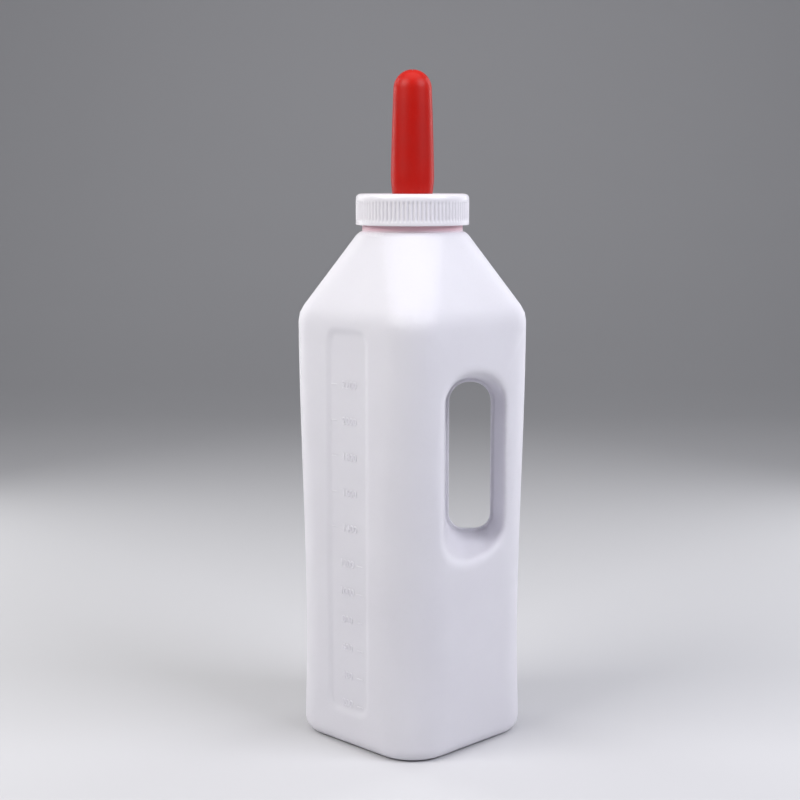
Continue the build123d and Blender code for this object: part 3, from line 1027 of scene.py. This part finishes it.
def add_floor(scene):
    """A floor 8 m wide that curves up behind the bottle into a wall."""
    material = floor_finish(scene.bottle_finishes.floor)
    bm = bmesh.new()
    sweep = rounded_path([(-3.0, 0.0, 0.0), (2.2, 0.0, 0.9), (2.2, 3.2, 0.0)], 0.5)
    verts = [bm.verts.new((-4.0, y, z)) for y, z in sweep]
    edges = [bm.edges.new(pair) for pair in zip(verts, verts[1:])]
    made = bmesh.ops.extrude_edge_only(bm, edges=edges)["geom"]
    far_side = [item for item in made if isinstance(item, bmesh.types.BMVert)]
    bmesh.ops.translate(bm, verts=far_side, vec=(8.0, 0, 0))
    bmesh.ops.recalc_face_normals(bm, faces=bm.faces)
    floor = make_object("studio_sweep", bm, material)


def add_lights(scene):
    world = bpy.data.worlds.new("studio")
    world.use_nodes = True
    set_inputs(world.node_tree.nodes["Background"], {"Color": (0.75, 0.78, 0.85, 1.0), "Strength": 0.16})
    scene.world = world
    scene.view_settings.view_transform = "Standard"
    for name, place, size, power, tint in LIGHTS:
        light = bpy.data.lights.new(name, "AREA")
        light.shape = "RECTANGLE"
        light.size, light.size_y = size
        light.energy = power
        light.color = tint
        holder = bpy.data.objects.new(name, light)
        holder.location = place
        holder.rotation_euler = (LIT_POINT - Vector(place)).to_track_quat("-Z", "Y").to_euler()
        scene.collection.objects.link(holder)


def add_camera(scene):
    lens = bpy.data.cameras.new("camera")
    lens.lens = CAMERA_LENS
    lens.clip_start, lens.clip_end = 0.05, 50.0
    camera = bpy.data.objects.new("camera", lens)
    camera.location = CAMERA_PLACE
    camera.rotation_euler = (pi / 2 - CAMERA_TILT, 0, 0)
    scene.collection.objects.link(camera)
    scene.camera = camera


class BOTTLE_OT_stage(bpy.types.Operator):
    """Set up the floor, the lights and the camera"""

    bl_idname = "bottle.stage"
    bl_label = "Studio"

    def execute(self, context):
        add_floor(context.scene)
        add_lights(context.scene)
        add_camera(context.scene)
        return {"FINISHED"}


STEPS = (BOTTLE_OT_body, BOTTLE_OT_scale, BOTTLE_OT_cap, BOTTLE_OT_teat, BOTTLE_OT_valve, BOTTLE_OT_stage)
GROUPS = {"bottle_shape": BottleShape, "bottle_grip": GripShape, "bottle_panel": PanelShape,
          "bottle_cap": CapShape, "bottle_teat": TeatShape, "bottle_finishes": Finishes}


class VIEW3D_PT_bottle(bpy.types.Panel):
    """The steps that build the bottle, and its sizes"""

    bl_label = "Calf bottle"
    bl_idname = "VIEW3D_PT_bottle"
    bl_space_type = "VIEW_3D"
    bl_region_type = "UI"
    bl_category = "Calf bottle"

    def draw(self, context):
        for step in STEPS:
            self.layout.operator(step.bl_idname)
        for group in GROUPS:
            box = self.layout.box()
            settings = getattr(context.scene, group)
            for name in settings.bl_rna.properties.keys():
                if name not in ("rna_type", "name"):
                    box.prop(settings, name)


def register():
    for group in GROUPS.values():
        bpy.utils.register_class(group)
    for step in STEPS:
        bpy.utils.register_class(step)
    bpy.utils.register_class(VIEW3D_PT_bottle)
    for name, group in GROUPS.items():
        setattr(bpy.types.Scene, name, PointerProperty(type=group))


def unregister():
    for name in GROUPS:
        delattr(bpy.types.Scene, name)
    bpy.utils.unregister_class(VIEW3D_PT_bottle)
    for step in reversed(STEPS):
        bpy.utils.unregister_class(step)
    for group in reversed(list(GROUPS.values())):
        bpy.utils.unregister_class(group)


def main():
    register()
    bpy.ops.bottle.body()
    bpy.ops.bottle.scale()
    bpy.ops.bottle.cap()
    bpy.ops.bottle.teat()
    bpy.ops.bottle.valve()
    bpy.ops.bottle.stage()


if __name__ == "__main__":
    main()
